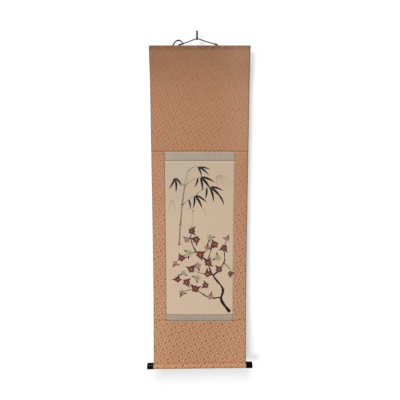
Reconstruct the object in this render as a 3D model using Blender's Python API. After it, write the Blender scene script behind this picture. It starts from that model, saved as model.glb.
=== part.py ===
"""A hanging scroll and the plain hook that it hangs from, in metres, +Z up.

The origin lies on the back face of the hook, where it meets the wall. The scroll faces -Y.
A "drop" is a height measured down from the scroll's top edge.
"""

import math

import bmesh
import bpy
from mathutils import Matrix, Vector

# Thickness of the cloth and paper, and the gap kept between two pieces that meet
CLOTH = 0.0012
GAP = 0.0003

# Where the scroll hangs, seen from the hook
MIDDLE_X = 0.0145
FACE_Y = -0.018
TOP_Z = -0.073

# The mounting: its width, the drop of each seam, and the width of the picture panel
WIDTH = 0.545
TEN_SEAM = 0.5605
PAPER_TOP = 0.6127
PAPER_END = 1.5085
CHI_SEAM = 1.5445
CREASE = 1.794
PANEL_WIDTH = 0.392

# How the cloth hangs: its lower part swings forward and its two side edges curl back
SWAY = 0.030
SWAY_START = 0.90
SWAY_POWER = 1.7
CURL_LEFT = 0.015
CURL_RIGHT = 0.014
CURL_POWER = 2.5
CURL_STARTS = 0.04
CURL_GROWS = 0.14
CURL_ENDS = 0.42
ROW_STEP = 0.065

# The top rod: a half round with its flat side to the front, tipped forward by its eyelets
ROD_RADIUS = 0.010
ROD_SEGMENTS = 16
HEAD_TILT = math.radians(6)
FOLD_RADIUS = ROD_RADIUS + GAP + CLOTH
FOLD_PIVOT = 2 * FOLD_RADIUS
FOLD_LEAVES = math.radians(-62)
HEM = 0.009
HEM_BEND = 0.0007

# The bottom roller, which hangs a little lower at the left
ROLLER_RADIUS = 0.0145
ROLLER_TILT = 0.0133
WRAP_RADIUS = ROLLER_RADIUS + GAP + CLOTH
WRAP_SET_BACK = 0.005
WRAP_SEGMENTS = 36
WRAP_STOPS = math.radians(360 + 66)
CREASE_RADIUS = 0.001
TENON_RADIUS = 0.008
TENON_LENGTH = 0.020
KNOB_RADIUS = 0.0173
KNOB_LENGTH = 0.036
KNOB_EDGE = 0.002
KNOB_STANDS_OFF = 0.0006

# The eyelets in the top rod, placed across from the scroll's middle
KAN_X = {"left": -0.1105, "right": 0.0945}
KAN_LEAN = math.radians(25)
KAN_RING = 0.0046
KAN_WIRE = 0.0013
KAN_NECK = 0.0040
WASHER_RADIUS = 0.0032
WASHER_THICK = 0.0006
PIN_RADIUS = 0.0008
PIN_DEPTH = 0.0065
DRILL_CLEARANCE = 0.0003

# The hook: a bent strip
HOOK_WIDTH = 0.0095
HOOK_THICK = 0.002
HOOK_TOP = 0.010
HOOK_TIP = 0.020
HOOK_SEGMENTS = 14

# The hanging cord, wound round itself beside each eyelet
CORD_RADIUS = 0.0025
LOOP_RADIUS = 0.0036
LOOP_CORD = 0.0018
WINDING_RADIUS = 0.0039
WINDING_LENGTH = 0.009
CORD_RISE = 0.0375
CORD_SAG = 0.0009

# The winding ribbon, tied round the hanging cord
RIBBON_RADIUS = 0.0017
KNOT_X = -0.0903
KNOT_RADIUS = 0.0050
KNOT_LENGTH = 0.0065
KNOT_CLEARS = 0.0009

RIBBON_LEAVES = (-0.6, 0.05, 0.8)

# Its route from there over the top rod and down behind the scroll, the first rows in sight:
# across from the scroll's middle, y, height above the scroll's top edge
SEEN_ROWS = 11
RIBBON_ROUTE = (
    (-0.0975, -0.0090, 0.0232),
    (-0.1025, -0.0086, 0.0268),
    (-0.1080, -0.0080, 0.0296),
    (-0.1150, -0.0072, 0.0310),
    (-0.1220, -0.0062, 0.0297),
    (-0.1290, -0.0051, 0.0262),
    (-0.1350, -0.0041, 0.0212),
    (-0.1400, -0.0034, 0.0146),
    (-0.1440, -0.0030, 0.0060),
    (-0.1470, -0.0028, -0.0040),
    (-0.1490, -0.0027, -0.0160),
    (-0.1505, -0.0028, -0.0400),
    (-0.1515, -0.0032, -0.0900),
    (-0.1520, -0.0040, -0.1800),
    (-0.1518, -0.0050, -0.3000),
    (-0.1512, -0.0058, -0.4400),
    (-0.1510, -0.0062, -0.5800),
    (-0.1514, -0.0064, -0.7200),
    (-0.1518, -0.0064, -0.8300),
    (-0.1520, -0.0064, -0.9140),
)

# name, colour, roughness, metallic
MATERIALS = {
    "silk": ((0.46, 0.22, 0.12), 0.55, 0.0),
    "brocade": ((0.38, 0.31, 0.23), 0.5, 0.0),
    "paper": ((0.60, 0.48, 0.35), 0.85, 0.0),
    "wood": ((0.45, 0.30, 0.18), 0.6, 0.0),
    "lacquer": ((0.008, 0.008, 0.008), 0.15, 0.0),
    "eyelet_metal": ((0.10, 0.08, 0.07), 0.4, 0.9),
    "cord": ((0.06, 0.05, 0.05), 0.8, 0.0),
    "ribbon": ((0.05, 0.04, 0.045), 0.75, 0.0),
    "hook_metal": ((0.05, 0.045, 0.045), 0.35, 0.9),
}


def clear_scene():
    for thing in list(bpy.data.objects):
        bpy.data.objects.remove(thing)


def material(name):
    made = bpy.data.materials.get(name)
    if made is None:
        colour, roughness, metallic = MATERIALS[name]
        made = bpy.data.materials.new(name)
        made.use_nodes = True
        shader = made.node_tree.nodes["Principled BSDF"]
        shader.inputs["Base Color"].default_value = (*colour, 1)
        shader.inputs["Roughness"].default_value = roughness
        shader.inputs["Metallic"].default_value = metallic
    return made


def add_object(name, data, material_name=None, helper=False):
    """Puts data into the scene. A helper only cuts or joins, and isn't a piece."""
    made = bpy.data.objects.new(name, data)
    bpy.context.scene.collection.objects.link(made)
    if material_name:
        data.materials.append(material(material_name))
    if helper:
        made.hide_render = True
        made.display_type = "WIRE"
    return made


def add_mesh(name, points, faces, material_name=None, helper=False, smooth=True):
    mesh = bpy.data.meshes.new(name)
    mesh.from_pydata(points, [], faces)
    shaped = bmesh.new()
    shaped.from_mesh(mesh)
    bmesh.ops.remove_doubles(shaped, verts=shaped.verts, dist=1e-6)
    shaped.to_mesh(mesh)
    shaped.free()
    if smooth:
        mesh.shade_smooth()
        mesh.set_sharp_from_angle(angle=math.radians(35))
    return add_object(name, mesh, material_name, helper)


def combine(piece, other, operation):
    step = piece.modifiers.new(f"{operation.lower()}_{other.name}", "BOOLEAN")
    step.operation = operation
    step.solver = "EXACT"
    step.object = other


def turn_outwards(piece):
    shaped = bmesh.new()
    shaped.from_mesh(piece.data)
    bmesh.ops.recalc_face_normals(shaped, faces=shaped.faces)
    shaped.to_mesh(piece.data)
    shaped.free()


def turned(name, profile, material_name=None, steps=32, helper=False):
    """A solid turned about X. The profile's rows are (place along X, radius), from axis to axis."""
    points = []
    for along, radius in profile:
        for step in range(steps):
            angle = 2 * math.pi * step / steps
            points.append((along, radius * math.cos(angle), radius * math.sin(angle)))
    faces = []
    for ring in range(len(profile) - 1):
        for step in range(steps):
            after = (step + 1) % steps
            low, high = ring * steps, (ring + 1) * steps
            corners = [low + step, low + after, high + after, high + step]
            if profile[ring][1] == 0:
                corners = corners[1:]
            elif profile[ring + 1][1] == 0:
                corners = corners[:3]
            faces.append(corners)
    piece = add_mesh(name, points, faces, material_name, helper)
    turn_outwards(piece)
    return piece


def torus(name, ring_radius, wire_radius, ring_steps=28, wire_steps=10, helper=False):
    """A ring about Y, so that it lies in the XZ plane."""
    points, faces = [], []
    for i in range(ring_steps):
        turn = 2 * math.pi * i / ring_steps
        for j in range(wire_steps):
            around = 2 * math.pi * j / wire_steps
            reach = ring_radius + wire_radius * math.cos(around)
            points.append(
                (reach * math.cos(turn), wire_radius * math.sin(around), reach * math.sin(turn))
            )
            after_i = (i + 1) % ring_steps * wire_steps
            after_j = (j + 1) % wire_steps
            here = i * wire_steps
            faces.append((here + j, here + after_j, after_i + after_j, after_i + j))
    piece = add_mesh(name, points, faces, helper=helper)
    turn_outwards(piece)
    return piece


def arc(centre, radius, start, end, steps):
    """Points (y, z) on an arc. Angles run from +Y towards +Z."""
    return [
        (
            centre[0] + radius * math.cos(start + (end - start) * i / steps),
            centre[1] + radius * math.sin(start + (end - start) * i / steps),
        )
        for i in range(steps + 1)
    ]


def ramp(t):
    t = min(1.0, max(0.0, t))
    return t * t * (3 - 2 * t)


def sway(drop):
    """How far the cloth has swung forward at this drop."""
    return SWAY * max(0.0, (drop - SWAY_START) / (CREASE - SWAY_START)) ** SWAY_POWER


def curl(x, drop):
    """How far the cloth's edges have curled back at this place."""
    side = CURL_LEFT if x < 0 else CURL_RIGHT
    along = ramp((drop - CURL_STARTS) / CURL_GROWS) * ramp((CREASE - drop) / CURL_ENDS)
    return side * along * abs(2 * x / WIDTH) ** CURL_POWER


def lower_left(x, drop):
    """The cloth is a little longer at its left side below the picture."""
    return ROLLER_TILT * x * ramp((drop - CHI_SEAM) / (CREASE - CHI_SEAM))


def face_point(x, drop):
    """A point on the front face of the hanging cloth, x measured from the scroll's middle."""
    return Vector(
        (MIDDLE_X + x, FACE_Y - sway(drop) + curl(x, drop), TOP_Z - drop + lower_left(x, drop))
    )


def sheet(name, columns, rows, material_name):
    """A cloth of the given rows of front-face points, thickened backwards."""
    points = [point for row in rows for point in row]
    faces = [
        (i * columns + j, (i + 1) * columns + j, (i + 1) * columns + j + 1, i * columns + j + 1)
        for i in range(len(rows) - 1)
        for j in range(columns - 1)
    ]
    piece = add_mesh(name, points, faces, material_name)
    thick = piece.modifiers.new("thickness", "SOLIDIFY")
    thick.thickness = CLOTH
    thick.offset = -1
    thick.use_even_offset = True
    return piece


def spaced(start, end, most):
    count = max(1, math.ceil((end - start) / most - 1e-6))
    return [start + (end - start) * i / count for i in range(count + 1)]


def panel(name, left, right, top, end, material_name, columns):
    """A flat-cut cloth between two x places and two drops, with half a gap left all round."""
    across = spaced(left + GAP / 2, right - GAP / 2, (right - left) / (columns - 1))
    drops = spaced(top + GAP / 2, end - GAP / 2, ROW_STEP)
    rows = [[face_point(x, drop) for x in across] for drop in drops]
    return sheet(name, len(across), rows, material_name)


def tipped(point):
    """A point (y, z) of the top fold, z from the top edge, turned with the tipped rod."""
    y, z = point[0], point[1] + FOLD_PIVOT
    cos, sin = math.cos(HEAD_TILT), math.sin(HEAD_TILT)
    return (y * cos - z * sin, y * sin + z * cos - FOLD_PIVOT)


def fold_section():
    """The outer face of the top fold: its hem, which hangs straight, and the part round the rod."""
    corner = GAP + CLOTH
    back = arc((corner, -FOLD_RADIUS), FOLD_RADIUS, FOLD_LEAVES, math.pi / 2, ROD_SEGMENTS)
    front = arc((corner, -corner), corner, math.pi / 2, math.pi, 4)
    hem_y = 2 * CLOTH + GAP
    slope = math.tan(math.pi / 2 + FOLD_LEAVES)
    meets = back[0][1] - (back[0][0] - hem_y) * slope
    bend = [(hem_y, meets - HEM_BEND), (hem_y + HEM_BEND, meets + HEM_BEND * slope)]
    return [(hem_y, meets - HEM), *bend], back + front[1:]


def make_ten():
    """The upper cloth, closed round the top rod."""
    hem, fold = fold_section()
    section = hem + [tipped(point) for point in fold]
    across = spaced(-WIDTH / 2, WIDTH / 2, WIDTH / 12)
    rows = [
        [Vector((MIDDLE_X + x, FACE_Y + y, TOP_Z + z)) for x in across] for y, z in section
    ]
    for drop in spaced(FOLD_PIVOT, TEN_SEAM - GAP / 2, ROW_STEP):
        rows.append([face_point(x, drop) for x in across])
    return sheet("ten", len(across), rows, "silk")


def roller_frame():
    """The roller's axis in (y, z), and the directions back from the sheet and up along it."""
    step = 0.001
    slope = math.atan((sway(CREASE) - sway(CREASE - step)) / step)
    back = Vector((math.cos(slope), -math.sin(slope)))
    up = Vector((math.sin(slope), math.cos(slope)))
    fillet = WRAP_RADIUS + CREASE_RADIUS
    rise = math.sqrt(fillet**2 - (WRAP_SET_BACK - CREASE_RADIUS) ** 2)
    crease = Vector((FACE_Y - sway(CREASE), TOP_Z - CREASE))
    return crease - back * WRAP_SET_BACK - up * rise, back, up, rise


def make_chi():
    """The lower cloth: down to the crease, forward over the roller and right round it."""
    axis, back, up, rise = roller_frame()
    fillet = (WRAP_SET_BACK - CREASE_RADIUS, rise)
    touch = math.atan2(fillet[1], fillet[0])
    crease = arc(fillet, CREASE_RADIUS, 0, touch - math.pi, 4)
    wrap = arc((0, 0), WRAP_RADIUS, touch, WRAP_STOPS, WRAP_SEGMENTS)
    section = [axis + back * u + up * v for u, v in crease[1:] + wrap[1:]]
    across = spaced(-WIDTH / 2, WIDTH / 2, WIDTH / 12)
    drops = spaced(CHI_SEAM + GAP / 2, CREASE, ROW_STEP)
    rows = [[face_point(x, drop) for x in across] for drop in drops]
    for y, z in section:
        rows.append([Vector((MIDDLE_X + x, y, z + ROLLER_TILT * x)) for x in across])
    return sheet("chi", len(across), rows, "silk")


def rod_centre():
    """The middle of the top rod's flat side, in (y, z)."""
    y, z = tipped((GAP + CLOTH, -FOLD_RADIUS))
    return FACE_Y + y, TOP_Z + z


def make_hasso():
    """The half-round top rod."""
    outline = arc((0, 0), ROD_RADIUS, -math.pi / 2, math.pi / 2, ROD_SEGMENTS)
    count = len(outline)
    points = [(end * WIDTH / 2, y, z) for end in (-1, 1) for y, z in outline]
    sides = [(i, (i + 1) % count, count + (i + 1) % count, count + i) for i in range(count)]
    ends = [list(range(count)), list(range(count, 2 * count))]
    rod = add_mesh("hasso", points, sides + ends, "wood")
    turn_outwards(rod)
    rod.location = (MIDDLE_X, *rod_centre())
    rod.rotation_euler = (HEAD_TILT, 0, 0)
    return rod


def kan_place(side):
    """Where an eyelet's axis starts, on the middle of the rod's flat side, and its turn."""
    centre = Vector((MIDDLE_X + KAN_X[side], *rod_centre()))
    return Matrix.Translation(centre) @ Matrix.Rotation(-KAN_LEAN, 4, "X")


def kan_reach():
    """How far the middle of an eyelet's ring stands from the middle of the rod."""
    return FOLD_RADIUS + GAP + WASHER_THICK + KAN_NECK + KAN_RING


def turned_about_z(name, profile):
    piece = turned(name, profile, steps=16, helper=True)
    piece.data.transform(Matrix.Rotation(-math.pi / 2, 4, "Y"))
    turn_outwards(piece)
    return piece


def make_kan(side, cut_pieces):
    """An eyelet: a ring on a pin with a washer, and the hole that the pin goes down."""
    place = kan_place(side)
    washer = FOLD_RADIUS + GAP
    pin = turned_about_z(
        f"kan_{side}_pin",
        [
            (FOLD_RADIUS - PIN_DEPTH, 0),
            (FOLD_RADIUS - PIN_DEPTH, PIN_RADIUS * 0.6),
            (FOLD_RADIUS - PIN_DEPTH + 0.001, PIN_RADIUS),
            (washer, PIN_RADIUS),
            (washer, WASHER_RADIUS),
            (washer + WASHER_THICK, WASHER_RADIUS),
            (washer + WASHER_THICK, PIN_RADIUS),
            (kan_reach() - KAN_RING, PIN_RADIUS),
            (kan_reach() - KAN_RING, 0),
        ],
    )
    hole = PIN_RADIUS + DRILL_CLEARANCE
    drill = turned_about_z(
        f"kan_{side}_drill",
        [
            (FOLD_RADIUS - PIN_DEPTH - 0.001, 0),
            (FOLD_RADIUS - PIN_DEPTH - 0.001, hole),
            (FOLD_RADIUS + 0.003, hole),
            (FOLD_RADIUS + 0.003, 0),
        ],
    )
    ring = torus(f"kan_{side}", KAN_RING, KAN_WIRE)
    ring.data.transform(Matrix.Translation((0, 0, kan_reach())))
    ring.data.materials.append(material("eyelet_metal"))
    for thing in (pin, drill, ring):
        thing.matrix_world = place
    combine(ring, pin, "UNION")
    for piece in cut_pieces:
        combine(piece, drill, "DIFFERENCE")
    return ring


def make_roller():
    """The roller with a tenon at each end, and the two lacquered knobs on them."""
    axis = roller_frame()[0]
    carrier = add_object("roller_axis", None)
    carrier.location = (MIDDLE_X, axis[0], axis[1])
    carrier.rotation_euler = (0, -math.atan(ROLLER_TILT), 0)
    half = WIDTH / 2
    roller = turned(
        "jikubo",
        [
            (-half - TENON_LENGTH, 0),
            (-half - TENON_LENGTH, TENON_RADIUS),
            (-half, TENON_RADIUS),
            (-half, ROLLER_RADIUS),
            (half, ROLLER_RADIUS),
            (half, TENON_RADIUS),
            (half + TENON_LENGTH, TENON_RADIUS),
            (half + TENON_LENGTH, 0),
        ],
        "wood",
    )
    roller.parent = carrier
    edge = [
        (KNOB_LENGTH - KNOB_EDGE + y, KNOB_RADIUS - KNOB_EDGE + z)
        for y, z in arc((0, 0), KNOB_EDGE, math.pi / 2, 0, 4)
    ]
    profile = [
        (TENON_LENGTH + GAP, 0),
        (TENON_LENGTH + GAP, TENON_RADIUS + GAP),
        (0, TENON_RADIUS + GAP),
        (0, KNOB_RADIUS - 0.0006),
        (0.0006, KNOB_RADIUS),
        *edge,
        (KNOB_LENGTH + 0.0004, 0),
    ]
    for side, turn in (("left", math.pi), ("right", 0)):
        knob = turned(f"jikusaki_{side}", profile, "lacquer", steps=40)
        knob.parent = carrier
        knob.location = (math.cos(turn) * (half + KNOB_STANDS_OFF), 0, 0)
        knob.rotation_euler = (0, 0, turn)


def cord_height():
    """The height of the hanging cord where it lies over the hook."""
    return TOP_Z + CORD_RISE


def eye_centre(side):
    return kan_place(side) @ Vector((0, 0, kan_reach()))


def make_hook():
    """A flat strip, bent forward and up into a J. The cord lies in its bend."""
    cord_y = eye_centre("left").y
    inner = -cord_y - HOOK_THICK
    outer = inner + HOOK_THICK
    bottom = cord_height() - CORD_RADIUS - GAP - HOOK_THICK
    centre = (cord_y, bottom + outer)
    tip = bottom + HOOK_TIP
    half_thick = HOOK_THICK / 2
    tip_end = arc((centre[0] - inner - half_thick, tip - half_thick), half_thick, 0, math.pi, 6)
    outline = [(0, HOOK_TOP - HOOK_THICK), (-HOOK_THICK * 0.4, HOOK_TOP), (-HOOK_THICK, HOOK_TOP)]
    outline += arc(centre, inner, 0, -math.pi, HOOK_SEGMENTS)
    outline += tip_end
    outline += arc(centre, outer, -math.pi, 0, HOOK_SEGMENTS)
    count = len(outline)
    points = [(end * HOOK_WIDTH / 2, y, z) for end in (-1, 1) for y, z in outline]
    sides = [(i, (i + 1) % count, count + (i + 1) % count, count + i) for i in range(count)]
    ends = [list(range(count)), list(range(count, 2 * count))]
    hook = add_mesh("hook", points, sides + ends, "hook_metal")
    turn_outwards(hook)
    return hook


def smooth_curve(route, step):
    """Points about a step apart on a smooth curve through the route's own points."""
    ends = [2 * route[0] - route[1], *route, 2 * route[-1] - route[-2]]
    found = []
    for a, b, c, d in zip(ends, ends[1:], ends[2:], ends[3:]):
        count = max(1, round((c - b).length / step))
        for i in range(count):
            t = i / count
            bend = 2 * a - 5 * b + 4 * c - d
            twist = 3 * b - a - 3 * c + d
            found.append(0.5 * (2 * b + (c - a) * t + bend * t**2 + twist * t**3))
    return [*found, route[-1]]


def tube(name, points, radius, material_name=None, resolution=2, helper=False):
    """A round cord along the points, its ends closed."""
    curve = bpy.data.curves.new(name, "CURVE")
    curve.dimensions = "3D"
    curve.bevel_depth = radius
    curve.bevel_resolution = resolution
    curve.use_fill_caps = True
    line = curve.splines.new("POLY")
    line.points.add(len(points) - 1)
    for place, point in zip(line.points, points):
        place.co = (*point, 1)
    return add_object(name, curve, material_name, helper)


def as_mesh(piece):
    """The same piece with its curve made into a mesh, so that a Boolean can use it."""
    seen = piece.evaluated_get(bpy.context.evaluated_depsgraph_get())
    mesh = bpy.data.meshes.new_from_object(seen)
    name, helper = piece.name, piece.hide_render
    bpy.data.objects.remove(piece)
    made = add_object(name, mesh, helper=helper)
    shaped = bmesh.new()
    shaped.from_mesh(mesh)
    bmesh.ops.remove_doubles(shaped, verts=shaped.verts, dist=1e-6)
    bmesh.ops.recalc_face_normals(shaped, faces=shaped.faces)
    shaped.to_mesh(mesh)
    shaped.free()
    return made


def leg(side):
    """One leg of the hanging cord: the point of the eyelet's ring that it pulls on, and its direction."""
    eye = eye_centre(side)
    at_hook = Vector((math.copysign(HOOK_WIDTH / 2, KAN_X[side]), eye.y, cord_height()))
    ring_axis = kan_place(side).to_3x3() @ Vector((0, 1, 0))
    pull = at_hook - eye
    in_ring = (pull - ring_axis * pull.dot(ring_axis)).normalized()
    ring_side = eye + in_ring * KAN_RING
    return ring_side, (at_hook - ring_side).normalized()


def make_eye_loop(side):
    """The cord's loop through an eyelet, across the eyelet's wire."""
    ring_side, towards = leg(side)
    ring_axis = kan_place(side).to_3x3() @ Vector((0, 1, 0))
    about = towards.cross(ring_axis).normalized()
    turn = Matrix((towards, about, towards.cross(about))).transposed()
    loop = torus(f"kakeo_{side}_loop", LOOP_RADIUS, LOOP_CORD, 24, 10, helper=True)
    loop.matrix_world = Matrix.Translation(ring_side) @ turn.to_4x4()
    return loop


def make_winding(side):
    """The stretch beside an eyelet where the cord is wound round itself."""
    ring_side, towards = leg(side)
    starts = ring_side + towards * LOOP_RADIUS
    points = [starts, starts + towards * WINDING_LENGTH]
    return as_mesh(tube(f"kakeo_{side}_winding", points, WINDING_RADIUS, helper=True))


def cord_line(side):
    """The points of one leg, from inside its winding to beside the hook, with a slight sag."""
    ring_side, towards = leg(side)
    starts = ring_side + towards * (LOOP_RADIUS + 0.002)
    leaves = ring_side + towards * (LOOP_RADIUS + WINDING_LENGTH)
    beside = Vector((math.copysign(HOOK_WIDTH, KAN_X[side]), leaves.y, cord_height() - 0.0007))
    return [starts, leaves, leaves.lerp(beside, 0.5) - Vector((0, 0, CORD_SAG)), beside]


def make_kakeo():
    """The hanging cord: a loop and a winding at each eyelet, and one line over the hook."""
    left, right = cord_line("left"), cord_line("right")
    top = Vector((0, left[0].y, cord_height()))
    points = smooth_curve([*left, top, *reversed(right)], 0.004)
    cord = as_mesh(tube("kakeo", points, CORD_RADIUS))
    cord.data.materials.append(material("cord"))
    for side in KAN_X:
        combine(cord, make_winding(side), "UNION")
        combine(cord, make_eye_loop(side), "UNION")
    return cord


def make_makio():
    """The winding ribbon as a plain cord, and its knot, a sleeve round the hanging cord."""
    ring_side, towards = leg("left")
    middle = ring_side + towards * ((MIDDLE_X + KNOT_X - ring_side.x) / towards.x)
    half = KNOT_LENGTH / 2
    inner = CORD_RADIUS + 2 * GAP
    profile = [(-half, inner), (-half, KNOT_RADIUS), (half, KNOT_RADIUS), (half, inner)]
    profile.append(profile[0])
    knot = turned("makio_knot", profile, "ribbon", steps=20)
    knot.location = middle - Vector((0, 0, CORD_SAG / 4))
    knot.rotation_euler = (0, -math.asin(towards.z), 0)
    leaves = knot.location + Vector(RIBBON_LEAVES).normalized() * (KNOT_RADIUS + GAP + KNOT_CLEARS)
    route = [Vector((MIDDLE_X + x, y, TOP_Z + z)) for x, y, z in RIBBON_ROUTE]
    seen = smooth_curve([leaves, *route[:SEEN_ROWS]], 0.006)
    hidden = smooth_curve(route[SEEN_ROWS - 1 :], 0.022)
    tube("makio", [*seen[:-1], *hidden], RIBBON_RADIUS, "ribbon")


def make_panels():
    """The picture paper, the two narrow brocade strips and the two side strips."""
    half = PANEL_WIDTH / 2
    panel("ichimonji_top", -half, half, TEN_SEAM, PAPER_TOP, "brocade", 9)
    panel("honshi", -half, half, PAPER_TOP, PAPER_END, "paper", 9)
    panel("ichimonji_bottom", -half, half, PAPER_END, CHI_SEAM, "brocade", 9)
    edge = WIDTH / 2 + GAP / 2
    panel("hashira_left", -edge, -half, TEN_SEAM, CHI_SEAM, "silk", 4)
    panel("hashira_right", half, edge, TEN_SEAM, CHI_SEAM, "silk", 4)


def main():
    clear_scene()
    ten = make_ten()
    make_panels()
    make_chi()
    hasso = make_hasso()
    for side in KAN_X:
        make_kan(side, (ten, hasso))
    make_roller()
    make_hook()
    make_kakeo()
    make_makio()


main()
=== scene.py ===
import math
from itertools import accumulate

import bpy
from mathutils import Matrix, Vector


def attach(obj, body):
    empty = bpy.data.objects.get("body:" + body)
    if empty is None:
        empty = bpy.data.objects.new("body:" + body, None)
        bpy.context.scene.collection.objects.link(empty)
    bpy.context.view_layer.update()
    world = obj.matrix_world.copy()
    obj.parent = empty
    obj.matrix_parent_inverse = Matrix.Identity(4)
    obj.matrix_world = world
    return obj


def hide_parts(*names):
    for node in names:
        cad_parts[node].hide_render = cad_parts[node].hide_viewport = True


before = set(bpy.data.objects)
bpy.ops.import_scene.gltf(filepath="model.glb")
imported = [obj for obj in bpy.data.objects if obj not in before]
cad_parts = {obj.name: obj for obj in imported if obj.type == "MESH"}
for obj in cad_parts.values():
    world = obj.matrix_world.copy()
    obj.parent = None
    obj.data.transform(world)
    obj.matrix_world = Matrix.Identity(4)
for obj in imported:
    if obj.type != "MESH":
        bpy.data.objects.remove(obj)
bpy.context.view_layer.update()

# A hanging scroll on its hook. Its cloths, paper, cord and ribbon take the place of their plain CAD
# solids. Its rods, roller ends, eyelets and hook are the CAD's own, with a finish.

# Sizes of the scroll, in metres, the same as its CAD's. A drop is how far down from its top edge.
CLOTH = 0.0012
GAP = 0.0003
MIDDLE_X = 0.0145
FACE_Y = -0.018
TOP_Z = -0.073
WIDTH = 0.545
TEN_SEAM = 0.5605
PAPER_TOP = 0.6127
PAPER_END = 1.5085
CHI_SEAM = 1.5445
CREASE = 1.794
PANEL_WIDTH = 0.392

# The cloths' grids, and how far the brocade strips and the paper lie back from the silk's face
CELL = 0.009
FINE_CELL = 0.004
STRIP_SET_BACK = 0.0001
PAPER_SET_BACK = 0.0002

# How it hangs
SWAY = 0.030
SWAY_START = 0.90
SWAY_POWER = 1.7
CURL_LEFT = 0.015
CURL_RIGHT = 0.014
CURL_POWER = 2.5
CURL_STARTS = 0.04
CURL_GROWS = 0.14
CURL_ENDS = 0.42

# The fold round the top rod
ROD_RADIUS = 0.010
HEAD_TILT = math.radians(6)
FOLD_RADIUS = ROD_RADIUS + GAP + CLOTH
FOLD_PIVOT = 2 * FOLD_RADIUS
FOLD_LEAVES = math.radians(-62)
HEM = 0.009
HEM_BEND = 0.0007

# The wrap round the roller
ROLLER_RADIUS = 0.0145
ROLLER_TILT = 0.0133
WRAP_RADIUS = ROLLER_RADIUS + GAP + CLOTH
WRAP_SET_BACK = 0.005
WRAP_STOPS = math.radians(360 + 66)
CREASE_RADIUS = 0.001

# The eyelets and the hook
KAN_X = {"left": -0.1105, "right": 0.0945}
KAN_LEAN = math.radians(25)
KAN_RING = 0.0046
KAN_WASHER = 0.0006
KAN_NECK = 0.0040
KAN_REACH = FOLD_RADIUS + GAP + KAN_WASHER + KAN_NECK + KAN_RING
HOOK_WIDTH = 0.0095

# The cord and the ribbon
CORD_RADIUS = 0.0025
LOOP_RADIUS = 0.0036
LOOP_CORD = 0.0017
WINDING_LENGTH = 0.009
WINDING_RADIUS = 0.0028
WINDING_PITCH = 0.0020
WINDING_CORD = 0.0011
CORD_TUCK = 0.0005
CORD_RISE = 0.0375
HOOK_FALL = 0.0007
CORD_SAG = 0.0009
RIBBON_WIDTH = 0.008
RIBBON_THICK = 0.0011
KNOT_X = -0.0903
KNOT_RADIUS = 0.0050
KNOT_CLEARS = 0.0009
KNOT_TURNS = ((-0.0026, 0.0037), (-0.0003, 0.0039), (0.0018, 0.0037))
RIBBON_LEAVES = (-0.6, 0.05, 0.8)
RIBBON_LEAVES_TURNED = 50.0

# The ribbon's route from its knot: across from the scroll's middle, y, height above its top edge,
# and how far its flat side is turned from facing the wall, in degrees
RIBBON_ROUTE = (
    (-0.0975, -0.0090, 0.0232, 34),
    (-0.1025, -0.0086, 0.0268, 28),
    (-0.1080, -0.0080, 0.0296, 12),
    (-0.1150, -0.0072, 0.0310, 0),
    (-0.1220, -0.0062, 0.0297, 12),
    (-0.1290, -0.0051, 0.0262, 24),
    (-0.1350, -0.0041, 0.0212, 26),
    (-0.1400, -0.0034, 0.0146, 26),
    (-0.1440, -0.0030, 0.0060, 24),
    (-0.1470, -0.0028, -0.0040, 14),
    (-0.1490, -0.0027, -0.0160, 8),
    (-0.1505, -0.0028, -0.0400, 0),
    (-0.1515, -0.0032, -0.0900, 0),
    (-0.1520, -0.0040, -0.1800, 0),
    (-0.1518, -0.0050, -0.3000, 5),
    (-0.1512, -0.0058, -0.4400, 0),
    (-0.1510, -0.0062, -0.5800, -5),
    (-0.1514, -0.0064, -0.7200, 0),
    (-0.1518, -0.0064, -0.8300, 6),
    (-0.1520, -0.0064, -0.9140, 10),
)

# The camera: its lens in mm, how many degrees it looks down, and where it stands from the middle
# of the cloth's top edge
LENS = 25.2
LOOKS_DOWN = 6.035
STANDS = (0.0014, -1.5775, -0.6649)

# The stage: the floor, a white backdrop that glows a little, the light from all round, and two
# soft lights from afar, each with the way that it travels, its strength and its width in degrees
FLOOR_Z = -2.3
FLOOR_REACH = 4
WALL_Y = 0.042
WALL_REACH = 1.6
WALL_TOP = 0.7
WALL_GLOW = 0.25
ALL_ROUND = 0.30
LIGHTS = {
    "key": ((0.60, 1.0, -0.20), 1.115, 24),
    "top": ((0.20, 1.0, -1.40), 1.416, 24),
}


def add_object(name, data):
    made = bpy.data.objects.new(name, data)
    bpy.context.scene.collection.objects.link(made)
    return made


def make_camera():
    data = bpy.data.cameras.new("camera")
    data.sensor_width = 36
    data.lens = LENS
    camera = add_object("camera", data)
    camera.location = (MIDDLE_X + STANDS[0], FACE_Y + STANDS[1], TOP_Z + STANDS[2])
    camera.rotation_euler = (math.radians(90 - LOOKS_DOWN), 0, 0)
    bpy.context.scene.camera = camera


# ---- Meshes ----


def add_map(mesh, name, corners):
    """A UV map that holds two numbers for each corner of each face."""
    layer = mesh.uv_layers.new(name=name)
    layer.data.foreach_set("uv", [n for face in corners for uv in face for n in uv])


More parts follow.
